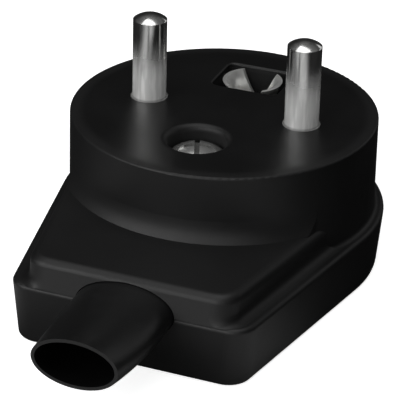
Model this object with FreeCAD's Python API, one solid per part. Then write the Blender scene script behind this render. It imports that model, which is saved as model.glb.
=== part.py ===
"""Angled mains plug with two round pins, an earth socket, and a cord outlet at its side.

The plug lies on its flat back. The origin is on the axis of the round face, at the back.
+Z points up along the pins, +X towards the right pin, and +Y from the cord outlet
towards the earth socket. All sizes are in millimetres.
"""
import FreeCAD, Part
import math
import os
from FreeCAD import Vector

os.makedirs("parts", exist_ok=True)

# Casing outline: a round back about the face's axis, two straight sides that close
# in towards the front, and a straight front wall
back_radius = 19.3
front_reach = 29.3
front_half_width = 13.9
corner_radius = 2.8

# Levels of the casing, measured up from its flat back
parting_z = 6.0
lip_z = 7.2
plateau_z = 10.5
face_z = 18.4

# Casing walls
side_draft = 0.6
front_draft = 0.15
cover_floor = 1.8
cover_wall = 1.8
tongue_thickness = 1.2
tongue_depth = 1.4
tongue_gap = 0.1
plateau_roof = 1.2
face_thickness = 3.2

# Rounded face and the tier below it
back_ledge = 1.2
face_draft = 0.1
ledge_width = 2.0
tier_front_set = 0.86

# Edge rounding
cover_edge = 0.6
lip_edge = 0.5
ledge_cove = 1.1
ridge_edge = 1.1
foot_cove = 0.6
face_cove_width = 0.75
face_cove_height = 2.6
face_edge = 0.25

# How far the ring of a cove goes into the level it stands on
cove_sink = 0.15

# Contact pins
pin_pitch = 19.0
pin_radius = 2.0
pin_root_radius = 2.2
pin_reach = 10.4
pin_tip_height = 0.65
pin_tip_step = 0.05
pin_collar_radius = 3.3
pin_collar_height = 1.2
pin_boss_wall = 2.2
pin_boss_drop = 0.8
pillar_radius = 3.0
pillar_height = 6.0
wire_hole_radius = 1.4
wire_hole_rise = 2.6
pin_gap = 0.05

# Plate that holds the pins in
retainer_thickness = 1.4
retainer_wall_gap = 0.5
retainer_bar_half = 2.5
retainer_post_radius = 2.6

# Earth socket and its window in the face
earth_rim_gap = 8.6
earth_bore_radius = 2.4
earth_sheet = 0.45
earth_flare = 0.75
earth_flare_height = 2.3
earth_flare_middle = 0.3
earth_depth_below_face = 0.2
earth_slit_bottom = 1.0
earth_slit_top = 4.2
earth_slit_spread = 3.3
earth_ring_height = 2.0
earth_base_height = 0.75
window_half_width = 4.15
window_half_depth = 3.4
window_corner = 0.9
window_edge = 0.3
chimney_wall = 1.6
spring_wire_radius = 0.2
spring_ring_rise = 4.2
spring_ring_mouth = 40.0

# Earth strap and terminal
strap_top_z = 9.4
strap_thickness = 1.0
strap_half_width = 3.0
strap_left_reach = 5.2
strap_wall_gap = 0.38
rivet_radius = 1.2
rivet_head_radius = 2.0
rivet_head_height = 0.6
rivet_head_gap = 0.1
clamp_washer_radius = 2.6
clamp_washer_thickness = 1.0
trap_rib_width = 1.7
trap_rib_half_depth = 2.6
trap_rib_gap = 0.4

# Assembly screw through the face
screw_offset = 8.6
screw_recess_radius = 3.4
screw_recess_edge = 0.8
screw_head_radius = 3.0
screw_head_height = 1.7
screw_head_side = 0.7
screw_recess_depth = 2.5
screw_shank_radius = 1.48
screw_hole_radius = 1.7
screw_boss_wall = 1.6
screw_turn = 20.0
insert_radius = 2.3
insert_length = 3.8
insert_sink = 0.2
insert_wall_in_cover = 1.5

# Small screws
terminal_thread_radius = 1.25
terminal_head_radius = 2.3
small_head_height = 1.6
retainer_thread_radius = 0.9
retainer_head_radius = 1.9
retainer_screw_bite = 1.8
grip_thread_radius = 1.1
grip_head_radius = 2.0
grip_screw_bite = 2.4
earth_thread_radius = 1.4
earth_screw_reach = 1.4
thread_gap = 0.02
slot_width = 0.6
slot_depth = 0.7
terminal_bite_share = 0.33

# Cord sleeve
sleeve_length = 13.0
sleeve_root_half_width = 5.7
sleeve_root_half_height = 2.72
sleeve_root_z = 7.1
sleeve_middle_half_width = 5.6
sleeve_middle_half_height = 2.74
sleeve_middle_z = 6.93
sleeve_end_half_width = 4.94
sleeve_end_half_height = 2.87
sleeve_end_z = 7.42
sleeve_wall = 0.4
sleeve_gap = 0.1
collar_half_width = 6.9
collar_thickness = 1.6
collar_corner = 1.2
collar_low_z = 3.7

# Cord grip
grip_setback = 6.8
grip_screw_half_pitch = 8.0
grip_post_radius = 2.2
grip_bar_margin = 2.0
grip_bar_half_depth = 2.0
grip_bar_thickness = 1.8
grip_bar_corner = 1.2
grip_bar_top_z = 5.4
grip_saddle_half_width = 4.4
grip_saddle_rise = 0.9

# How far a cutting shape runs past what it cuts
overshoot = 1.0

# Sizes that follow from the ones above
half_pitch = pin_pitch / 2
face_radius = back_radius - back_ledge
earth_offset = face_radius - earth_rim_gap
grip_offset = front_reach - grip_setback
ceiling_z = face_z - face_thickness
roof_z = plateau_z - plateau_roof
boss_z = ceiling_z - pin_boss_drop
collar_z = boss_z - pin_collar_height
pillar_z = collar_z - pillar_height
wire_hole_z = pillar_z + wire_hole_rise
cavity_inset = side_draft + cover_wall
tongue_inset = cavity_inset + tongue_gap
hollow_inset = tongue_inset + tongue_thickness
hollow_radius = back_radius - hollow_inset
retainer_pad_radius = hollow_radius - half_pitch - retainer_wall_gap
terminal_reach = hollow_radius - strap_wall_gap - strap_half_width
earth_terminal_x = math.sqrt(terminal_reach ** 2 - earth_offset ** 2)
front_cavity_inset = front_draft + cover_wall
front_tongue_inset = front_cavity_inset + tongue_gap
front_hollow_inset = front_tongue_inset + tongue_thickness
tongue_z = parting_z - tongue_depth
strap_z = strap_top_z - strap_thickness
screw_seat_z = face_z - screw_recess_depth
screw_boss_radius = screw_recess_radius + screw_boss_wall
screw_post_radius = insert_radius + insert_wall_in_cover
collar_front_y = front_cavity_inset - front_reach
collar_inner_y = collar_front_y + collar_thickness
collar_top_z = roof_z - sleeve_gap
reach = math.hypot(front_half_width, front_reach)
side_angle = math.atan2(front_reach, front_half_width) - math.acos(back_radius / reach)
UP = Vector(0, 0, 1)


def outline(z, inset=0.0, front_inset=0.0, corner=corner_radius):
    """The casing's outline, moved inwards by inset, and at the front by front_inset."""
    c, s = math.cos(side_angle), math.sin(side_angle)
    radius = back_radius - inset
    front = front_reach - front_inset
    half = (radius - front * s) / c
    length = corner * math.tan((math.pi / 2 - side_angle) / 2)
    touch = Vector(radius * c, -radius * s, z)
    on_side = Vector(half + length * s, -front + length * c, z)
    on_front = Vector(half - length, -front, z)
    centre = Vector(on_front.x, corner - front, z)
    to_corner = (Vector(half, -front, z) - centre).normalize()
    middle = centre + to_corner * corner

    def flip(p):
        return Vector(-p.x, p.y, p.z)

    edges = [
        Part.Arc(touch, Vector(0, radius, z), flip(touch)),
        Part.LineSegment(flip(touch), flip(on_side)),
        Part.Arc(flip(on_side), flip(middle), flip(on_front)),
        Part.LineSegment(flip(on_front), on_front),
        Part.Arc(on_front, middle, on_side),
        Part.LineSegment(on_side, touch),
    ]
    return Part.Wire([e.toShape() for e in edges])


def drafted(z, inset=0.0, front_inset=0.0):
    """The outline of the drafted outer wall at the level z, where the lip is the widest."""
    share = 1 - z / lip_z
    return outline(z, inset + side_draft * share, front_inset + front_draft * share)


def prism(wire, height):
    """A solid that carries a level wire straight up by the height."""
    return Part.Face(wire).extrude(Vector(0, 0, height))


def loft(wires, ruled=True):
    """A closed solid through level wires that have the same edges."""
    return Part.makeLoft(wires, True, ruled)


def rod(radius, low, high, x=0.0, y=0.0):
    """An upright cylinder between two levels."""
    return Part.makeCylinder(radius, high - low, Vector(x, y, low))


def block(x0, x1, y0, y1, z0, z1):
    """A box between two corners."""
    return Part.makeBox(x1 - x0, y1 - y0, z1 - z0, Vector(x0, y0, z0))


def turned(points, x=0.0, y=0.0):
    """A solid turned about an upright axis from (radius, level) points, with arcs as
    triples (through, end) after a point."""
    edges = []
    last = Vector(points[0][0], 0, points[0][1])
    for p in points[1:]:
        if isinstance(p[0], tuple):
            through = Vector(p[0][0], 0, p[0][1])
            end = Vector(p[1][0], 0, p[1][1])
            edges.append(Part.Arc(last, through, end).toShape())
        else:
            end = Vector(p[0], 0, p[1])
            edges.append(Part.LineSegment(last, end).toShape())
        last = end
    start = Vector(points[0][0], 0, points[0][1])
    edges.append(Part.LineSegment(last, start).toShape())
    solid = Part.Face(Part.Wire(edges)).revolve(Vector(0, 0, 0), UP, 360)
    return solid.translated(Vector(x, y, 0))


def rounded_rectangle(half_x, half_y, corner, z, x=0.0, y=0.0):
    """A level rectangle with round corners."""
    k = corner * (1 - math.sqrt(0.5))
    edges = []
    quarters = [(1, 1), (-1, 1), (-1, -1), (1, -1)]
    for sx, sy in quarters:
        side = Vector(x + sx * half_x, y + sy * (half_y - corner), z)
        end = Vector(x + sx * (half_x - corner), y + sy * half_y, z)
        middle = Vector(x + sx * (half_x - k), y + sy * (half_y - k), z)
        first, last = (side, end) if sx * sy > 0 else (end, side)
        edges.append((first, middle, last))
    wire = []
    for i, (first, middle, last) in enumerate(edges):
        wire.append(Part.Arc(first, middle, last).toShape())
        wire.append(Part.LineSegment(last, edges[(i + 1) % len(edges)][0]).toShape())
    return Part.Wire(wire)


def edges_at(shape, level, tolerance=0.01):
    """The edges that lie wholly on one level."""
    found = []
    for edge in shape.Edges:
        box = edge.BoundBox
        if abs(box.ZMin - level) < tolerance and abs(box.ZMax - level) < tolerance:
            found.append(edge)
    return found


def wall_radius(level):
    """The radius of the round face's drafted wall at a level."""
    return face_radius - face_draft * (level - lip_z) / (face_z - lip_z)


def cove(low, width, height):
    """A ring that fills the corner between the round face's wall and a level with a
    hollow round, which runs into the wall and ends in an edge on the level."""
    radius = wall_radius(low + height)
    arc = (width ** 2 + height ** 2) / (2 * width)
    middle = radius + arc - math.sqrt(arc ** 2 - (height / 2) ** 2)
    return turned([
        (radius - width, low - cove_sink), (radius + width, low - cove_sink),
        (radius + width, low),
        ((middle, low + height / 2), (radius, low + height)),
        (radius - width, low + height),
    ])


def upright_oval(y, half_width, half_height, level):
    """An oval in the upright plane y, with its centre at the level."""
    wire = Part.Wire([Part.Ellipse(Vector(0, 0, 0), half_width, half_height).toShape()])
    wire.rotate(Vector(0, 0, 0), Vector(1, 0, 0), 90)
    wire.translate(Vector(0, y, level))
    return wire


def sleeve_root(y_near, y_far, extra):
    """The straight root of the sleeve between two upright planes, made larger by extra."""
    oval = upright_oval(y_far, sleeve_root_half_width + extra, sleeve_root_half_height + extra,
                        sleeve_root_z)
    return Part.Face(oval).extrude(Vector(0, y_near - y_far, 0))


def sleeve_tail(extra):
    """The free length of the sleeve, which bellies and tapers, made larger by extra."""
    return loft([
        upright_oval(-front_reach, sleeve_root_half_width + extra,
                     sleeve_root_half_height + extra, sleeve_root_z),
        upright_oval(-front_reach - sleeve_length / 2, sleeve_middle_half_width + extra,
                     sleeve_middle_half_height + extra, sleeve_middle_z),
        upright_oval(-front_reach - sleeve_length, sleeve_end_half_width + extra,
                     sleeve_end_half_height + extra, sleeve_end_z),
    ], ruled=False)


def outer_shape():
    """The front body before it is hollowed: ledge, tier and round face."""
    ledge = loft([drafted(parting_z), drafted(lip_z)])
    ledge = ledge.makeFillet(lip_edge, edges_at(ledge, lip_z))
    rise = plateau_z - lip_z

    def tier_outline(height, inset):
        return outline(lip_z + height, inset, tier_front_set * height / rise)

    away = ledge_cove * (1 - math.sqrt(0.5))
    foot = loft([
        tier_outline(0, ledge_width - ledge_cove),
        tier_outline(away, ledge_width - away),
        tier_outline(ledge_cove, ledge_width),
    ], ruled=False)
    tier = loft([tier_outline(ledge_cove, ledge_width), tier_outline(rise, ledge_width)])
    tier = tier.makeFillet(ridge_edge, edges_at(tier, plateau_z))
    top_radius = face_radius - face_draft
    face = Part.makeCone(face_radius, top_radius, face_z - lip_z, Vector(0, 0, lip_z))
    face = face.makeFillet(face_edge, edges_at(face, face_z))
    upper_cove = cove(plateau_z, face_cove_width, face_cove_height)
    over_tier = prism(outline(plateau_z - cove_sink, ledge_width + ridge_edge / 2),
                      face_cove_height + cove_sink)
    lower_cove = cove(lip_z, foot_cove, foot_cove)
    return ledge.fuse([foot, tier, face, upper_cove.common(over_tier), lower_cove])


def face_recesses():
    """The screw's recess and the earth window, each with a rounded mouth."""
    y = -screw_offset
    r, e = screw_recess_radius, screw_recess_edge
    away = e * (1 - math.sqrt(0.5))
    recess = turned([
        (0, screw_seat_z), (r, screw_seat_z), (r, face_z - e),
        ((r + away, face_z - away), (r + e, face_z)), (0, face_z),
    ], 0, y)
    window = prism(rounded_rectangle(window_half_width, window_half_depth, window_corner,
                                     strap_top_z, 0, earth_offset), face_z - strap_top_z)
    slab = block(-face_radius, face_radius, 0, face_radius, ceiling_z, face_z)
    slab = slab.cut(window)
    rim = [edge for edge in edges_at(slab, face_z)
           if max(edge.BoundBox.XMax, -edge.BoundBox.XMin) < face_radius - overshoot]
    mouth = block(-face_radius, face_radius, 0, face_radius, ceiling_z, face_z)
    mouth = mouth.cut(slab.makeFillet(window_edge, rim))
    return [recess, window, mouth]


def make_front_body():
    """Front body: the round face, the tier, the ledge and the tongue that fits the cover."""
    body = outer_shape()
    tongue = prism(outline(tongue_z, tongue_inset, front_tongue_inset), tongue_depth)
    body = body.fuse(tongue)
    low = prism(outline(tongue_z, hollow_inset, front_hollow_inset), roof_z - tongue_z)
    high = rod(hollow_radius, tongue_z, ceiling_z)
    body = body.cut([low, high])

    posts = [rod(pin_radius + pin_boss_wall, boss_z, ceiling_z, side * half_pitch)
             for side in (-1, 1)]
    posts.append(rod(retainer_post_radius, collar_z, ceiling_z))
    posts.append(rod(screw_boss_radius, parting_z, ceiling_z, 0, -screw_offset))
    posts += [rod(grip_post_radius, grip_bar_top_z, roof_z, side * grip_screw_half_pitch,
                  -grip_offset) for side in (-1, 1)]
    chimney = prism(rounded_rectangle(window_half_width + chimney_wall,
                                      window_half_depth + chimney_wall,
                                      window_corner + chimney_wall,
                                      strap_top_z, 0, earth_offset), ceiling_z - strap_top_z)
    body = body.fuse(posts + [chimney])

    holes = face_recesses()
    holes += [rod(pin_root_radius + pin_gap, boss_z, face_z, side * half_pitch) for side in (-1, 1)]
    holes.append(rod(screw_hole_radius, parting_z, screw_seat_z, 0, -screw_offset))
    bite = retainer_screw_bite + thread_gap
    holes.append(rod(retainer_thread_radius + thread_gap, collar_z, collar_z + bite))
    holes += [rod(grip_thread_radius + thread_gap, grip_bar_top_z,
                  grip_bar_top_z + grip_screw_bite + thread_gap,
                  side * grip_screw_half_pitch, -grip_offset) for side in (-1, 1)]
    holes.append(sleeve_root(collar_inner_y + sleeve_gap, -front_reach - overshoot, sleeve_gap))
    holes.append(collar_pocket())
    return body.cut(holes)


def collar_pocket():
    """The room behind the front wall that the sleeve's collar fills, open to the hollow."""
    half = collar_half_width + sleeve_gap
    inner_y = front_hollow_inset - front_reach
    return block(-half, half, collar_front_y, inner_y, tongue_z, roof_z)


def make_rear_cover():
    """Rear cover: a flat tray with drafted walls and a post for the assembly screw."""
    cover = loft([drafted(0), drafted(parting_z)])
    cover = cover.makeFillet(cover_edge, edges_at(cover, 0))
    hollow = prism(outline(cover_floor, cavity_inset, front_cavity_inset),
                   parting_z - cover_floor)
    cover = cover.cut(hollow)
    post = rod(screw_post_radius, cover_floor, parting_z, 0, -screw_offset)
    rib_x = rivet_head_radius + trap_rib_gap
    rib = block(rib_x, rib_x + trap_rib_width, earth_offset - trap_rib_half_depth,
                earth_offset + trap_rib_half_depth, cover_floor, strap_z)
    cover = cover.fuse([post, rib])
    bore = rod(insert_radius, parting_z - insert_sink - insert_length, parting_z, 0,
               -screw_offset)
    mouth = sleeve_root(collar_front_y, -front_reach - overshoot, sleeve_gap)
    return cover.cut([bore, mouth])


def make_cord_sleeve():
    """Cord sleeve: an oval tube with a flat collar inside the front wall."""
    half = collar_half_width
    collar = block(-half, half, collar_front_y, collar_inner_y, collar_low_z, collar_top_z)
    upright = [edge for edge in collar.Edges
               if edge.BoundBox.YLength > collar_thickness / 2]
    collar = collar.makeFillet(collar_corner, upright)
    tube = sleeve_root(collar_inner_y, -front_reach, 0.0)
    bores = [sleeve_root(collar_inner_y, -front_reach, -sleeve_wall), sleeve_tail(-sleeve_wall)]
    return tube.fuse([sleeve_tail(0.0), collar]).cut(bores)


def make_pin(side):
    """A contact pin: low domed tip, shaft, root, collar, and a pillar with a wire hole."""
    tip = face_z + pin_reach
    neck = pin_radius - pin_tip_step
    shoulder = tip - pin_tip_height
    half = neck / 2
    dome = (neck ** 2 + pin_tip_height ** 2) / (2 * pin_tip_height)
    level = tip - dome + math.sqrt(dome ** 2 - half ** 2)
    pin = turned([
        (0, pillar_z), (pillar_radius, pillar_z), (pillar_radius, collar_z),
        (pin_collar_radius, collar_z), (pin_collar_radius, boss_z),
        (pin_root_radius, boss_z), (pin_root_radius, face_z), (pin_radius, face_z),
        (pin_radius, shoulder - pin_tip_step), (neck, shoulder),
        ((half, level), (0, tip)),
    ], side * half_pitch)
    wire_hole = Part.makeCylinder(
        wire_hole_radius, 2 * (pillar_radius + overshoot),
        Vector(side * half_pitch, -pillar_radius - overshoot, wire_hole_z), Vector(0, 1, 0))
    thread = rod(terminal_thread_radius + thread_gap, pillar_z, wire_hole_z, side * half_pitch)
    return pin.cut([wire_hole, thread])


def slotted_screw(x, y, seat_z, head_radius, head_height, thread_radius, length):
    """A cheese-head screw driven upwards, with its head below the seat."""
    head = rod(head_radius, seat_z - head_height, seat_z, x, y)
    slot = block(x - head_radius, x + head_radius, y - slot_width / 2, y + slot_width / 2,
                 seat_z - head_height, seat_z - head_height + slot_depth)
    return head.cut(slot).fuse(rod(thread_radius, seat_z, seat_z + length, x, y))


def make_terminal_screw(side):
    """The screw that clamps a wire in a pin's pillar."""
    return slotted_screw(side * half_pitch, 0, pillar_z, terminal_head_radius,
                         small_head_height, terminal_thread_radius,
                         wire_hole_rise + wire_hole_radius * terminal_bite_share)


def make_pin_retainer():
    """The insulating plate that presses both pins' collars against their bosses."""
    low = collar_z - retainer_thickness
    pads = [rod(retainer_pad_radius, low, collar_z, side * half_pitch)
            for side in (-1, 1)]
    bar = block(-half_pitch, half_pitch, -retainer_bar_half, retainer_bar_half, low, collar_z)
    holes = [rod(pillar_radius + pin_gap, low, collar_z, side * half_pitch)
             for side in (-1, 1)]
    holes.append(rod(retainer_thread_radius + thread_gap, low, collar_z))
    return bar.fuse(pads).cut(holes)


def make_retainer_screw():
    """The screw that holds the retainer plate to its post."""
    seat = collar_z - retainer_thickness
    return slotted_screw(0, 0, seat, retainer_head_radius, small_head_height,
                         retainer_thread_radius, retainer_thickness + retainer_screw_bite)


def make_earth_socket():
    """The earth socket: a sheet sleeve, flared at its mouth and slit into two leaves."""
    r, t = earth_bore_radius, earth_sheet
    top = face_z - earth_depth_below_face
    bend = top - earth_flare_height
    floor = strap_top_z + t
    base_top = floor + earth_base_height
    base_radius = rivet_head_radius + rivet_head_gap
    half = earth_flare_height / 2
    middle = r + earth_flare * earth_flare_middle
    shell = turned([
        (0, strap_top_z), (r + t, strap_top_z), (r + t, bend),
        ((middle + t, bend + half), (r + t + earth_flare, top)),
        (r + earth_flare, top),
        ((middle, bend + half), (r, bend)),
        (r, base_top), (base_radius, base_top), (base_radius, floor), (0, floor),
    ], 0, earth_offset)
    low = strap_top_z + earth_ring_height
    reach_y = r + t + earth_flare + overshoot
    spread = top - earth_slit_spread
    right = [(earth_slit_bottom / 2, low), (earth_slit_bottom / 2, spread),
             (earth_slit_top / 2, top)]
    left = [(-x, z) for x, z in reversed(right)]
    corners = [Vector(x, -reach_y, z) for x, z in right + left]
    wedge = Part.Face(Part.makePolygon(corners + corners[:1])).extrude(Vector(0, 2 * reach_y, 0))
    wedge.translate(Vector(0, earth_offset, 0))
    return shell.cut([wedge, rod(rivet_radius, strap_top_z, floor, 0, earth_offset)])


def make_earth_spring():
    """The round-wire spring that presses the two leaves together."""
    radius = earth_bore_radius + earth_sheet + spring_wire_radius + thread_gap
    z = strap_top_z + spring_ring_rise
    wire = Part.Wire([Part.Circle(Vector(radius, 0, z), Vector(0, 1, 0),
                                  spring_wire_radius).toShape()])
    ring = Part.Face(wire).revolve(Vector(0, 0, 0), UP, 360 - spring_ring_mouth)
    ring.rotate(Vector(0, 0, 0), UP, spring_ring_mouth / 2)
    ring.translate(Vector(0, earth_offset, 0))
    return ring


def make_earth_strap():
    """The flat brass strap from the earth socket to the earth terminal."""
    y, half = earth_offset, strap_half_width
    strap = block(-strap_left_reach, earth_terminal_x, y - half, y + half, strap_z, strap_top_z)
    strap = strap.fuse(rod(half, strap_z, strap_top_z, earth_terminal_x, y))
    holes = [rod(rivet_radius, strap_z, strap_top_z, 0, y),
             rod(earth_thread_radius + thread_gap, strap_z, strap_top_z, earth_terminal_x, y)]
    return strap.cut(holes)


def make_earth_rivet():
    """The rivet that joins the earth socket to the strap."""
    top = strap_top_z + earth_sheet
    y = earth_offset
    return rod(rivet_radius, strap_z, top, 0, y).fuse([
        rod(rivet_head_radius, top, top + rivet_head_height, 0, y),
        rod(rivet_head_radius, strap_z - rivet_head_height, strap_z, 0, y)])


def make_earth_clamp_washer():
    """The thick washer that clamps the earth wire under the strap."""
    low = strap_z - clamp_washer_thickness
    x, y = earth_terminal_x, earth_offset
    hole = rod(earth_thread_radius + thread_gap, low, strap_z, x, y)
    return rod(clamp_washer_radius, low, strap_z, x, y).cut(hole)


def make_earth_terminal_screw():
    """The screw of the earth terminal."""
    return slotted_screw(earth_terminal_x, earth_offset, strap_z - clamp_washer_thickness,
                         terminal_head_radius, small_head_height, earth_thread_radius,
                         clamp_washer_thickness + strap_thickness + earth_screw_reach)


def make_assembly_screw():
    """The pan-head screw in the face, with a slot and a short cross in its head."""
    r, seat = screw_head_radius, screw_seat_z
    crown = screw_head_height - screw_head_side
    dome = (r ** 2 + crown ** 2) / (2 * crown)
    top = seat + screw_head_height
    level = top - dome + math.sqrt(dome ** 2 - (r / 2) ** 2)
    head = turned([(0, seat), (r, seat), (r, seat + screw_head_side), ((r / 2, level), (0, top))])
    low = top - slot_depth - crown / 2
    slot = block(-slot_width / 2, slot_width / 2, -r, r, low, top)
    cross = block(-r / 2, r / 2, -slot_width / 2, slot_width / 2, low, top)
    head = head.cut([slot, cross])
    head.rotate(Vector(0, 0, 0), UP, screw_turn)
    tip = parting_z - insert_sink - insert_length
    head = head.fuse(rod(screw_shank_radius, tip, seat))
    head.translate(Vector(0, -screw_offset, 0))
    return head


def make_assembly_insert():
    """The brass insert in the cover's post that the assembly screw turns into."""
    top = parting_z - insert_sink
    low = top - insert_length
    y = -screw_offset
    bore = rod(screw_shank_radius + thread_gap, low, top, 0, y)
    return rod(insert_radius, low, top, 0, y).cut(bore)


def make_grip_bar():
    """The bar that clamps the cord, with a shallow saddle along its middle."""
    half = grip_screw_half_pitch + grip_bar_margin
    low = grip_bar_top_z - grip_bar_thickness
    y = -grip_offset
    bar = block(-half, half, y - grip_bar_half_depth, y + grip_bar_half_depth, low,
                grip_bar_top_z)
    ends = [edge for edge in bar.Edges if edge.BoundBox.ZLength > grip_bar_thickness / 2]
    bar = bar.makeFillet(grip_bar_corner, ends)
    w, rise = grip_saddle_half_width, grip_saddle_rise
    radius = (w ** 2 + rise ** 2) / (2 * rise)
    saddle = Part.makeCylinder(radius, 2 * grip_bar_half_depth,
                               Vector(0, y - grip_bar_half_depth,
                                      grip_bar_top_z - rise + radius), Vector(0, 1, 0))
    holes = [rod(grip_thread_radius + thread_gap, low, grip_bar_top_z,
                 side * grip_screw_half_pitch, y) for side in (-1, 1)]
    return bar.cut([saddle] + holes)


def make_grip_screw(side):
    """A screw of the cord grip."""
    return slotted_screw(side * grip_screw_half_pitch, -grip_offset,
                         grip_bar_top_z - grip_bar_thickness, grip_head_radius,
                         small_head_height, grip_thread_radius,
                         grip_bar_thickness + grip_screw_bite)


parts = {
    "front_body": make_front_body(),
    "rear_cover": make_rear_cover(),
    "cord_sleeve": make_cord_sleeve(),
    "left_pin": make_pin(-1),
    "right_pin": make_pin(1),
    "left_terminal_screw": make_terminal_screw(-1),
    "right_terminal_screw": make_terminal_screw(1),
    "pin_retainer": make_pin_retainer(),
    "retainer_screw": make_retainer_screw(),
    "earth_socket": make_earth_socket(),
    "earth_spring": make_earth_spring(),
    "earth_strap": make_earth_strap(),
    "earth_rivet": make_earth_rivet(),
    "earth_clamp_washer": make_earth_clamp_washer(),
    "earth_terminal_screw": make_earth_terminal_screw(),
    "assembly_screw": make_assembly_screw(),
    "assembly_insert": make_assembly_insert(),
    "cord_grip_bar": make_grip_bar(),
    "left_grip_screw": make_grip_screw(-1),
    "right_grip_screw": make_grip_screw(1),
}
for name, shape in parts.items():
    shape.exportStep(f"parts/{name}.step")
    print(name, "valid", shape.isValid(), "solids", len(shape.Solids),
          "volume", round(shape.Volume, 1))
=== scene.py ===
"""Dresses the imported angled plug: its finishes, the studio and the camera.

Lengths are in metres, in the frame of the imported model: +Z up along the contact pins,
+X towards the right pin, +Y from the cord outlet towards the earth socket. Patterns and
the places of a finish on the plug are in millimetres in the same frame.
"""
import math

import bpy
from bpy.props import FloatProperty, FloatVectorProperty, PointerProperty
from mathutils import Matrix, Vector


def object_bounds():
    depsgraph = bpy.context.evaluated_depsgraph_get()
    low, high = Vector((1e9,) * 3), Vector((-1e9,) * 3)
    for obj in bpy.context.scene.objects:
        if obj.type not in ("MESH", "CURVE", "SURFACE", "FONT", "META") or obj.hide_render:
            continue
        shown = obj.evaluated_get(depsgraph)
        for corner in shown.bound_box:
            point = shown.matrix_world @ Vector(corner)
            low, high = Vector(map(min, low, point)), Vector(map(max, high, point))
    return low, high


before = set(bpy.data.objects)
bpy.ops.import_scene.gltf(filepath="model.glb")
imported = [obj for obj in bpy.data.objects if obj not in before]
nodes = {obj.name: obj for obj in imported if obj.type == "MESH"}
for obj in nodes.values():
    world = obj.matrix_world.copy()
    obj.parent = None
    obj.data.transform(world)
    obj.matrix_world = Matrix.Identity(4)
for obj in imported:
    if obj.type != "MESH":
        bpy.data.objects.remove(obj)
cad_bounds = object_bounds()

bl_info = {
    "name": "Angled Plug Dresser",
    "version": (1, 0, 0),
    "blender": (4, 5, 0),
    "location": "3D View > Sidebar > Plug",
    "description": "Finishes and a small studio for the angled plug",
    "category": "Object",
}

MM = 0.001

# The face's rounded edge, in millimetres: its radius, its level, and how far wear reaches
# from there
FACE_EDGE_RADIUS, FACE_EDGE_LEVEL = 17.9, 18.3
FACE_EDGE_REACH = (0.1, 0.6)

# Where other changes of finish, and the painted contact shadow at the pins' foot, start
# and end, in millimetres. FACE_ROUND is a radius, and the rest are levels
FACE_ROUND = (16.0, 17.4)
FACE_TOP = (18.32, 18.39)
SUNK_BELOW = (17.5, 18.1)
PIN_CONTACT_SHADE = (18.4, 18.7)
PIN_RUB = (20.4, 26.6)

# How uneven the border of the pins' rubbed part is, in millimetres
PIN_RUB_UNEVEN = 2.0

# Stretches of a pattern: below 1 it is drawn out along that axis
UPRIGHT = (1.0, 1.0, 0.06)
LEVEL = (0.15, 1.0, 1.0)
EVEN = (1.0, 1.0, 1.0)

# Plated pieces: material, colour setting, roughness, stretch, nodes
PLATED = (
    ("tinned_sheet", "sheet", 0.4, UPRIGHT,
     ("earth_socket", "earth_strap", "earth_rivet")),
    ("screw_plating", "steel", 0.24, LEVEL, ("assembly_screw",)),
    ("zinc_steel", "steel", 0.34, LEVEL,
     ("earth_clamp_washer", "earth_terminal_screw", "left_terminal_screw",
      "right_terminal_screw", "retainer_screw", "left_grip_screw", "right_grip_screw")),
    ("spring_wire", "steel", 0.3, EVEN, ("earth_spring",)),
    ("turned_brass", "brass", 0.3, LEVEL, ("assembly_insert",)),
)

# Round patches on the floor, in millimetres: middle x and y, full out to, gone at
LIT_IN_FRONT = (6.0, -46.0, 28.0, 54.0)
LIT_AT_LEFT = (-24.0, -28.0, 12.0, 26.0)
SLEEVE_SHADE = (-2.0, -29.0, 10.0, 24.0)
SLEEVE_SHADE_DEPTH = 0.9

# From the first y to the second, the floor passes into the casing's own shade
CASING_SHADE = (-30.0, -8.0)
CASING_SHADE_DEPTH = 0.85

# Brightness of the sky in reflections, by the height of the ray from 0 to 1
SKY_IN_GLOSS = (
    (0.0, 0.12), (0.06, 0.02), (0.4, 0.02),
    (0.6, 0.06), (0.88, 0.15), (1.0, 0.3),
)

# Lamps: name, place, what it is turned to, width and height, watts
LAMPS = (
    ("low_front", (-0.2, -0.322, 0.17), (0, 0, 0.012), (0.46, 0.15), 0.86),
    ("low_right", (0.1, -0.366, 0.17), (0, 0, 0.012), (0.3, 0.13), 0.22),
    ("overhead", (-0.02, -0.06, 0.42), (0, 0, 0.01), (0.4, 0.36), 0.65),
    ("back_right", (0.24, 0.42, 0.22), (0, 0, 0.01), (0.36, 0.16), 0.12),
)

# Camera: its sensor in millimetres, and the nearest and farthest it sees in metres
SENSOR_WIDTH = 36.0
NEAREST, FARTHEST = 0.01, 20.0


# Shader maths

class Value:
    """An output socket. Its operators add Math nodes to the tree it belongs to."""

    def __init__(self, tree, socket):
        self.tree = tree
        self.socket = socket

    def math(self, operation, *others):
        """One Math node on this value and the others."""
        return self.tree.node("ShaderNodeMath", {"operation": operation}, self, *others)

    def __add__(self, other):
        return self.math("ADD", other)

    def __radd__(self, other):
        return self.math("ADD", other)

    def __sub__(self, other):
        return self.math("SUBTRACT", other)

    def __rsub__(self, other):
        return self.tree.node("ShaderNodeMath", {"operation": "SUBTRACT"}, other, self)

    def __mul__(self, other):
        return self.math("MULTIPLY", other)

    def __rmul__(self, other):
        return self.math("MULTIPLY", other)

    def __pow__(self, other):
        return self.math("POWER", other)

    def root(self):
        """The square root."""
        return self.math("SQRT")

    def swing(self, width):
        """A value of 0 to 1 as one of half the width below nothing to half above it."""
        return (self - 0.5) * width

    def step(self, low, high):
        """0 below low and 1 above high, with a smooth rise between them."""
        return self.tree.node("ShaderNodeMapRange", {"interpolation_type": "SMOOTHSTEP"},
                              self, low, high, 0.0, 1.0)


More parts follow.
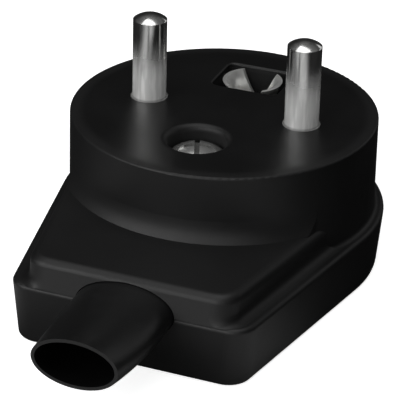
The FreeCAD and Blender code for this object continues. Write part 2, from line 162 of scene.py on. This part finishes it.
class Tree:
    """A node tree that is emptied first. Its nodes are added through one method."""

    def __init__(self, owner):
        owner.use_nodes = True
        self.tree = owner.node_tree
        self.tree.nodes.clear()

    @staticmethod
    def find(sockets, key):
        """A socket by its order, or by its name or identifier with _ for each space."""
        if isinstance(key, int):
            return sockets[key]
        return next(socket for socket in sockets
                    if key in (socket.name.replace(" ", "_"), socket.identifier))

    def node(self, kind, settings, *inputs, output=0, **named):
        """Adds a node: its settings first, then its sockets by order or by name. A Value
        is linked and anything else is set as the socket's own value."""
        made = self.tree.nodes.new(kind)
        for key, value in settings.items():
            if key == "stops":
                self.set_stops(made.color_ramp, value)
            else:
                setattr(made, key, value)
        for key, value in list(enumerate(inputs)) + list(named.items()):
            socket = self.find(made.inputs, key)
            if isinstance(value, Value):
                self.tree.links.new(value.socket, socket)
            else:
                socket.default_value = value
        return Value(self, self.find(made.outputs, output))

    @staticmethod
    def set_stops(ramp, stops):
        """Puts the (position, colour) stops on a colour ramp."""
        while len(ramp.elements) < len(stops):
            ramp.elements.new(1.0)
        for element, (position, shade) in zip(ramp.elements, stops):
            element.position = position
            element.color = shade

    def parts(self, vector):
        """The x, y and z of a vector."""
        first = self.node("ShaderNodeSeparateXYZ", {}, vector)
        return [Value(self, socket) for socket in first.socket.node.outputs]

    def ray(self, kind):
        """1 on a ray of the kind, such as Camera or Glossy, and 0 on any other."""
        return self.node("ShaderNodeLightPath", {}, output=f"Is_{kind}_Ray")

    def close(self, kind, surface):
        """The output node of the kind, fed by the surface."""
        self.tree.links.new(surface.socket, self.tree.nodes.new(kind).inputs[0])


class Shader(Tree):
    """A new material, with its patterns in the object's own coordinates."""

    def __init__(self, name):
        self.material = bpy.data.materials.new(name)
        super().__init__(self.material)
        self.place = self.node("ShaderNodeTexCoord", {}, output="Object")

    def axes(self):
        """The x, y and z of the object's coordinates in millimetres."""
        return self.parts(self.node("ShaderNodeVectorMath", {"operation": "SCALE"},
                                    self.place, Scale=1 / MM))

    def noise(self, per_mm, detail=2.0, stretch=EVEN, rough=0.5, warp=0.0):
        """A noise with so many features to the millimetre, drawn out by stretch."""
        moved = self.node("ShaderNodeMapping", {"vector_type": "POINT"}, self.place,
                          Scale=tuple(per_mm / MM * s for s in stretch))
        return self.node("ShaderNodeTexNoise", {}, moved, Scale=1.0, Detail=detail,
                         Roughness=rough, Distortion=warp)

    def blend(self, factor, first, second):
        """A colour between two colours."""
        return self.node("ShaderNodeMix", {"data_type": "RGBA"}, output="Result_Color",
                         Factor_Float=factor, A_Color=first, B_Color=second)

    def bump(self, height, depth_mm, strength):
        """A Bump node that reads a height of 0 to 1 as so many millimetres."""
        return self.node("ShaderNodeBump", {}, strength, depth_mm * MM, Height=height)

    def grey(self, level):
        """A grey colour of the level."""
        return self.node("ShaderNodeCombineColor", {}, level, level, level)

    def finish(self, colour, roughness, **sockets):
        """Closes the tree with a surface of these sockets, and gives the material."""
        surface = self.node("ShaderNodeBsdfPrincipled", {}, Base_Color=colour,
                            Roughness=roughness, **sockets)
        self.close("ShaderNodeOutputMaterial", surface)
        return self.material


def rgba(colour, scale):
    """A colour of three numbers as four, made darker or lighter by scale."""
    return (colour[0] * scale, colour[1] * scale, colour[2] * scale, 1.0)


# Finishes

def moulded_plastic(name, finish):
    """Black moulded plastic: fine grain, faint cloudy gloss, hair scratches, rubbed edges
    and specks of dust. The round face is smoother, and what is sunk into it is duller."""
    s = Shader(name)
    x, y, z = s.axes()
    cloud = s.noise(per_mm=0.12, detail=3.0)
    grain = s.noise(per_mm=7.0)
    along = s.noise(1.1, 3.0, stretch=(0.12, 2.6, 2.6), rough=0.55, warp=0.6)
    across = s.noise(1.3, 3.0, stretch=(2.4, 0.14, 2.4), rough=0.55, warp=0.5)
    hairs = along.step(0.66, 0.74) + across.step(0.67, 0.75)
    speck = s.noise(per_mm=2.6, detail=1.0).step(0.74, 0.8)

    radius = (x * x + y * y).root()
    from_edge = ((radius - FACE_EDGE_RADIUS) ** 2 + (z - FACE_EDGE_LEVEL) ** 2).root()
    patchy = s.noise(per_mm=0.7, detail=3.0).step(0.4, 0.75)
    worn = (1.0 - from_edge.step(*FACE_EDGE_REACH)) * patchy
    inside = 1.0 - radius.step(*FACE_ROUND)
    sunk = inside * (1.0 - z.step(*SUNK_BELOW))
    flat = inside * z.step(*FACE_TOP)

    dark, pale, scratched, rubbed, dusty = (
        rgba(finish.casing, scale) for scale in (0.8, 1.25, 3.0, 2.2, 7.0))
    tint = s.blend(cloud.step(0.3, 0.7), dark, pale)
    tint = s.blend(hairs * finish.scratches, tint, scratched)
    tint = s.blend(worn * finish.edge_wear, tint, rubbed)
    tint = s.blend(speck * finish.dust, tint, dusty)
    gloss = finish.casing_roughness + cloud.swing(0.16) + grain.swing(0.08)
    gloss = gloss - worn * 0.05 + speck * 0.15
    gloss = gloss - flat * finish.face_polish + sunk * finish.recess_dulling
    height = grain * 0.7 + cloud * 0.3 - hairs * 0.25
    return s.finish(tint, gloss, Normal=s.bump(height, depth_mm=0.012, strength=0.6),
                    Specular_IOR_Level=0.5)


def sleeve_rubber(name, finish):
    """Smooth soft plastic of the cord sleeve, with faint rings round its length."""
    s = Shader(name)
    cloud = s.noise(per_mm=0.2, detail=3.0)
    grain = s.noise(per_mm=5.0)
    rings = s.noise(per_mm=1.0, stretch=(0.25, 2.2, 0.25))
    rub = s.noise(per_mm=0.9, detail=3.0).step(0.55, 0.8)
    dark, pale, rubbed = (rgba(finish.sleeve, scale) for scale in (0.75, 1.3, 2.6))
    tint = s.blend(cloud, dark, pale)
    tint = s.blend(rub * finish.sleeve_rub, tint, rubbed)
    gloss = finish.sleeve_roughness + cloud.swing(0.14) + rub * 0.06
    height = rings * 0.5 + grain * 0.35 + cloud * 0.15
    return s.finish(tint, gloss, Normal=s.bump(height, depth_mm=0.014, strength=0.6),
                    Specular_IOR_Level=0.5)


def plated_metal(name, colour, roughness, stretch):
    """Bright plated metal: drawn lines, cloudy tarnish and fine rubs."""
    s = Shader(name)
    drawn = s.noise(per_mm=1.6, stretch=stretch)
    fine = s.noise(per_mm=8.0, stretch=stretch)
    cloud = s.noise(per_mm=0.35, detail=3.0)
    rub = s.noise(0.8, 4.0, stretch=stretch, rough=0.6).step(0.55, 0.72)
    dark, pale, rubbed = (rgba(colour, scale) for scale in (0.86, 1.08, 0.8))
    tint = s.blend(cloud.step(0.35, 0.7), dark, pale)
    tint = s.blend(rub * 0.3, tint, rubbed)
    gloss = roughness + drawn.swing(0.08) + cloud.swing(0.08) + rub * 0.05
    height = drawn * 0.6 + fine * 0.4
    return s.finish(tint, gloss, Normal=s.bump(height, depth_mm=0.001, strength=0.5),
                    Metallic=0.85)


def turned_plating(name, finish):
    """The contact pins: turned and plated. Their upper part is rubbed bright by outlets
    and mirrors its surroundings, and their foot has kept its satin grey. Pale streaks of
    painted highlight and dark streaks of painted reflection run along them. Fine rings
    draw the highlights out along the pin, and a painted contact shadow darkens them where
    they enter the face."""
    s = Shader(name)
    z = s.axes()[2]
    cloud = s.noise(per_mm=0.35, detail=3.0)
    rings = s.noise(per_mm=6.0, stretch=(0.05, 0.05, 1.0))
    # Dark streaks that darken the pins' colour: a painted reflection of dark surroundings
    dark_reflection = s.noise(per_mm=1.3, stretch=(1.0, 1.0, 0.08)).step(0.6, 0.7)
    # Pale streaks that lighten the pins' colour: a painted highlight
    painted_sheen = s.noise(per_mm=1.9, stretch=(1.0, 1.0, 0.12)).step(0.45, 0.62)
    bright = (z + cloud.swing(PIN_RUB_UNEVEN)).step(*PIN_RUB)
    # Painted contact shadow: the pins' foot is darkened where it meets the face
    contact_shade = 1.0 - z.step(*PIN_CONTACT_SHADE)
    dark, pale, sheen_tint, reflection_tint, shade_tint = (
        rgba(finish.plating, scale) for scale in (0.95, 1.05, 1.35, 0.55, 0.15))
    tint = s.blend(cloud, dark, pale)
    tint = s.blend(painted_sheen * finish.pin_painted_sheen, tint, sheen_tint)
    tint = s.blend(dark_reflection * finish.pin_dark_reflections, tint, reflection_tint)
    tint = s.blend(contact_shade * finish.pin_contact_shade, tint, shade_tint)
    gloss = finish.plating_roughness - bright * finish.pin_polish + rings.swing(0.02)
    metal = 1.0 - (1.0 - bright) * finish.pin_satin
    return s.finish(tint, gloss, Normal=s.bump(rings, depth_mm=0.0006, strength=0.4),
                    Metallic=metal, Anisotropic=0.55, Anisotropic_Rotation=0.25)


def plain_moulding(name, colour, roughness):
    """The paler insulating plastic of the hidden pieces, with a faint flow pattern."""
    s = Shader(name)
    flow = s.noise(0.3, 4.0, stretch=(1.0, 0.4, 1.0), warp=1.2)
    grain = s.noise(per_mm=6.0)
    dark, pale = (rgba(colour, scale) for scale in (0.82, 1.1))
    tint = s.blend(flow.step(0.3, 0.7), dark, pale)
    gloss = roughness + flow.swing(0.15) + grain.swing(0.08)
    height = grain * 0.6 + flow * 0.4
    return s.finish(tint, gloss, Normal=s.bump(height, depth_mm=0.012, strength=0.5))


def patch(x, y, place):
    """1 inside a round patch of the floor and 0 outside it, with a soft edge."""
    middle_x, middle_y, full, gone = place
    return 1.0 - ((x - middle_x) ** 2 + (y - middle_y) ** 2).root().step(full, gone)


def white_paper(name, stage):
    """The floor: matt white paper, pure white to the camera where no shadow falls. In
    reflections it shows two round lit patches, in front of the plug and at its left. They
    fade outwards and in the plug's own shade, as a sheet under a low lamp does."""
    s = Shader(name)
    x, y = s.axes()[:2]
    lit = (patch(x, y, LIT_IN_FRONT) + patch(x, y, LIT_AT_LEFT)).math("MINIMUM", 1.0)
    lit = lit * (1.0 - patch(x, y, SLEEVE_SHADE) * SLEEVE_SHADE_DEPTH)
    lit = lit * (1.0 - y.step(*CASING_SHADE) * CASING_SHADE_DEPTH)
    fibre = stage.paper + s.noise(per_mm=1.5, detail=3.0).swing(0.02)
    tone = fibre * (1.0 - s.ray("Glossy") * (stage.paper_unlit - lit * stage.paper_gloss))
    glow = s.ray("Camera") * stage.paper_white
    return s.finish(s.grey(tone), roughness=0.9, Specular_IOR_Level=0.0,
                    Emission_Color=s.grey(glow), Emission_Strength=1.0)


# Settings

def length(name, text, default):
    """A length property."""
    return FloatProperty(name=name, description=text, default=default, min=0.0,
                         subtype="DISTANCE", unit="LENGTH")


def offset(name, text, default):
    """A length property that may be below nothing."""
    return FloatProperty(name=name, description=text, default=default, unit="LENGTH")


def colour(name, text, default):
    """A colour property of three linear numbers."""
    return FloatVectorProperty(name=name, description=text, default=default, size=3,
                               min=0.0, max=1.0, subtype="COLOR")


def share(name, text, default):
    """A plain number property from 0 to 1."""
    return FloatProperty(name=name, description=text, default=default, min=0.0, max=1.0)


def angle(name, text, default):
    """An angle property, given in degrees."""
    return FloatProperty(name=name, description=text, default=math.radians(default),
                         subtype="ANGLE", unit="ROTATION")


class PLUG_PG_finish(bpy.types.PropertyGroup):
    """Colours and gloss of the plug."""
    casing: colour("Casing", "Colour of the black moulding", (0.0016, 0.0016, 0.0017))
    casing_roughness: share("Casing Roughness", "Roughness of the moulding", 0.52)
    face_polish: share("Face Polish", "How much smoother the round face is", 0.15)
    recess_dulling: share("Recess Dulling", "How much rougher its recesses are", 0.35)
    scratches: share("Scratches", "How clearly the hair scratches show", 0.35)
    edge_wear: share("Edge Wear", "How clearly the face's edge is rubbed", 0.4)
    dust: share("Dust", "How clearly the specks of dust show", 0.25)
    sleeve: colour("Sleeve", "Colour of the cord sleeve", (0.0012, 0.0012, 0.0013))
    sleeve_roughness: share("Sleeve Roughness", "Roughness of the cord sleeve", 0.44)
    sleeve_rub: share("Sleeve Rub", "How clearly the sleeve is rubbed", 0.3)
    plating: colour("Plating", "Colour of the plated pins", (0.7, 0.7, 0.69))
    plating_roughness: share("Plating Roughness", "Roughness of the pins' foot", 0.25)
    pin_polish: share("Pin Polish", "How much smoother the pins' upper part is", 0.09)
    pin_satin: share("Pin Satin", "Share of matt metal at the pins' foot", 0.62)
    # Strength of the painted highlight streaks on the pins
    pin_painted_sheen: share("Pin Painted Sheen", "How clearly the pins' pale streaks show", 0.7)
    # Strength of the painted dark reflection streaks on the pins
    pin_dark_reflections: share("Pin Dark Reflections", "How clearly the pins' dark streaks show", 0.35)
    # Depth of the painted contact shadow at the pins' foot
    pin_contact_shade: share("Pin Contact Shade", "How dark the pins are where they enter the face", 0.7)
    sheet: colour("Sheet", "Colour of the tinned earth socket", (0.92, 0.92, 0.9))
    steel: colour("Steel", "Colour of the screws", (0.62, 0.62, 0.61))
    brass: colour("Brass", "Colour of the thread insert", (0.72, 0.52, 0.24))
    insulator: colour("Insulator", "Colour of the hidden mouldings", (0.42, 0.38, 0.3))
    insulator_roughness: share("Insulator Roughness", "Roughness of those mouldings", 0.5)


class PLUG_PG_stage(bpy.types.PropertyGroup):
    """The camera, the lights and the floor."""
    azimuth: angle("Azimuth", "Camera's angle round the plug from its outlet", 20.921)
    elevation: angle("Elevation", "Camera's angle above the floor", 27.39)
    roll: angle("Roll", "Camera's turn about its own line of sight", 1.414)
    distance: length("Distance", "Camera's distance from the frame's origin", 0.259496)
    shift_right: offset("Right", "Camera's place to its right", -0.002442)
    shift_up: offset("Up", "Camera's place upwards", 0.00572)
    lens: FloatProperty(name="Lens", description="Focal length in millimetres",
                        default=193.722, unit="CAMERA")
    floor_size: length("Floor Size", "Half the width of the floor", 3.0)
    paper: share("Paper", "Share of light that the paper sends back", 0.85)
    paper_white: share("Paper White", "Glow of the paper, which the camera sees", 0.75)
    paper_gloss: share("Paper Gloss", "Brightness of the lit paper in reflections", 0.8)
    paper_unlit: share("Paper Unlit", "How dark the unlit paper is in reflections", 0.97)
    sky_light: share("Sky Light", "Light the surroundings give", 0.25)


# Operators

def paint(names, material):
    """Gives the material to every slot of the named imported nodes."""
    for name in names:
        slots = nodes[name].data.materials
        if not slots:
            slots.append(material)
        for i in range(len(slots)):
            slots[i] = material


class PLUG_OT_finish_casing(bpy.types.Operator):
    """Gives the two halves of the casing their moulded black finish"""
    bl_idname = "plug.finish_casing"
    bl_label = "Finish Casing"

    def execute(self, context):
        paint(("front_body", "rear_cover"),
              moulded_plastic("moulded_black", context.scene.plug_finish))
        return {"FINISHED"}


class PLUG_OT_finish_sleeve(bpy.types.Operator):
    """Gives the cord sleeve its soft black finish"""
    bl_idname = "plug.finish_sleeve"
    bl_label = "Finish Cord Sleeve"

    def execute(self, context):
        paint(("cord_sleeve",), sleeve_rubber("sleeve_black", context.scene.plug_finish))
        return {"FINISHED"}


class PLUG_OT_finish_metal(bpy.types.Operator):
    """Gives the pins, screws, earth pieces and thread insert their metals"""
    bl_idname = "plug.finish_metal"
    bl_label = "Finish Metal"

    def execute(self, context):
        finish = context.scene.plug_finish
        paint(("left_pin", "right_pin"), turned_plating("pin_plating", finish))
        for name, setting, roughness, stretch, pieces in PLATED:
            metal = plated_metal(name, getattr(finish, setting), roughness, stretch)
            paint(pieces, metal)
        return {"FINISHED"}


class PLUG_OT_finish_insulators(bpy.types.Operator):
    """Gives the hidden insulating pieces their plain plastic"""
    bl_idname = "plug.finish_insulators"
    bl_label = "Finish Insulators"

    def execute(self, context):
        finish = context.scene.plug_finish
        paint(("pin_retainer", "cord_grip_bar"),
              plain_moulding("insulator", finish.insulator, finish.insulator_roughness))
        return {"FINISHED"}


def soft_lamp(name, place, aim, size, power):
    """A rectangular area lamp at a place, turned to its aim."""
    data = bpy.data.lights.new(name, "AREA")
    data.shape = "RECTANGLE"
    data.size, data.size_y = size
    data.energy = power
    lamp = bpy.data.objects.new(name, data)
    lamp.location = place
    lamp.rotation_mode = "QUATERNION"
    lamp.rotation_quaternion = (Vector(aim) - Vector(place)).to_track_quat("-Z", "Y")
    bpy.context.scene.collection.objects.link(lamp)


class PLUG_OT_stage(bpy.types.Operator):
    """Sets up the camera, the lamps, the sky and the white floor"""
    bl_idname = "plug.stage"
    bl_label = "Stage"

    def execute(self, context):
        stage = context.scene.plug_stage
        self.camera(context, stage)
        self.floor(context, stage)
        self.sky(context, stage)
        for lamp in LAMPS:
            soft_lamp(*lamp)
        return {"FINISHED"}

    def camera(self, context, stage):
        """The photograph's view. The camera stands back along its own line of sight."""
        a, e, r = stage.azimuth, stage.elevation, stage.roll
        level = Vector((math.cos(a), math.sin(a), 0))
        back = Vector((level.y * math.cos(e), -level.x * math.cos(e), math.sin(e)))
        upright = back.cross(level)
        right = level * math.cos(r) + upright * math.sin(r)
        up = upright * math.cos(r) - level * math.sin(r)
        data = bpy.data.cameras.new("photo_camera")
        data.lens = stage.lens
        data.sensor_width = SENSOR_WIDTH
        data.clip_start, data.clip_end = NEAREST, FARTHEST
        camera = bpy.data.objects.new("photo_camera", data)
        place = back * stage.distance + right * stage.shift_right + up * stage.shift_up
        turn = Matrix((right, up, back)).transposed().to_4x4()
        camera.matrix_world = Matrix.Translation(place) @ turn
        context.scene.collection.objects.link(camera)
        context.scene.camera = camera

    def floor(self, context, stage):
        """A flat square just under the plug."""
        h = stage.floor_size
        z = cad_bounds[0].z
        data = bpy.data.meshes.new("floor")
        corners = [(-h, -h, z), (h, -h, z), (h, h, z), (-h, h, z)]
        data.from_pydata(corners, [], [(0, 1, 2, 3)])
        floor = bpy.data.objects.new("floor", data)
        data.materials.append(white_paper("white_paper", stage))
        context.scene.collection.objects.link(floor)

    def sky(self, context, stage):
        """White to the camera. In reflections it is pale at the floor's edge, dark above
        it and paler again overhead, and it gives only a little light."""
        world = bpy.data.worlds.new("studio")
        tree = Tree(world)
        height = tree.parts(tree.node("ShaderNodeTexCoord", {}, output="Generated"))[2]
        stops = [(at, (level, level, level, 1.0)) for at, level in SKY_IN_GLOSS]
        ramp = tree.node("ShaderNodeValToRGB", {"stops": stops}, height)
        mirrored = tree.ray("Glossy").math("MAXIMUM", tree.ray("Transmission")) * ramp
        seen = tree.ray("Camera").math("MAXIMUM", mirrored)
        given = tree.ray("Diffuse") * stage.sky_light
        strength = seen.math("MAXIMUM", given)
        light = tree.node("ShaderNodeBackground", {}, (1, 1, 1, 1), strength)
        tree.close("ShaderNodeOutputWorld", light)
        context.scene.world = world
        context.scene.view_settings.view_transform = "Standard"


PIECES = ("finish_casing", "finish_sleeve", "finish_metal", "finish_insulators", "stage")


class PLUG_PT_panel(bpy.types.Panel):
    """Lists the plug's operators and settings"""
    bl_idname = "PLUG_PT_panel"
    bl_label = "Angled Plug"
    bl_space_type = "VIEW_3D"
    bl_region_type = "UI"
    bl_category = "Plug"

    def draw(self, context):
        for name in PIECES:
            self.layout.operator("plug." + name)
        for group in (context.scene.plug_finish, context.scene.plug_stage):
            for key in group.__annotations__:
                self.layout.prop(group, key)


CLASSES = (PLUG_PG_finish, PLUG_PG_stage, PLUG_OT_finish_casing, PLUG_OT_finish_sleeve,
           PLUG_OT_finish_metal, PLUG_OT_finish_insulators, PLUG_OT_stage, PLUG_PT_panel)


def register():
    """Registers the classes and hangs the settings on the scene."""
    for cls in CLASSES:
        bpy.utils.register_class(cls)
    bpy.types.Scene.plug_finish = PointerProperty(type=PLUG_PG_finish)
    bpy.types.Scene.plug_stage = PointerProperty(type=PLUG_PG_stage)


def unregister():
    """Takes the settings and the classes away again."""
    del bpy.types.Scene.plug_finish
    del bpy.types.Scene.plug_stage
    for cls in reversed(CLASSES):
        bpy.utils.unregister_class(cls)


def main():
    """Runs every operator in order."""
    register()
    for name in PIECES:
        getattr(bpy.ops.plug, name)()


if __name__ == "__main__":
    main()
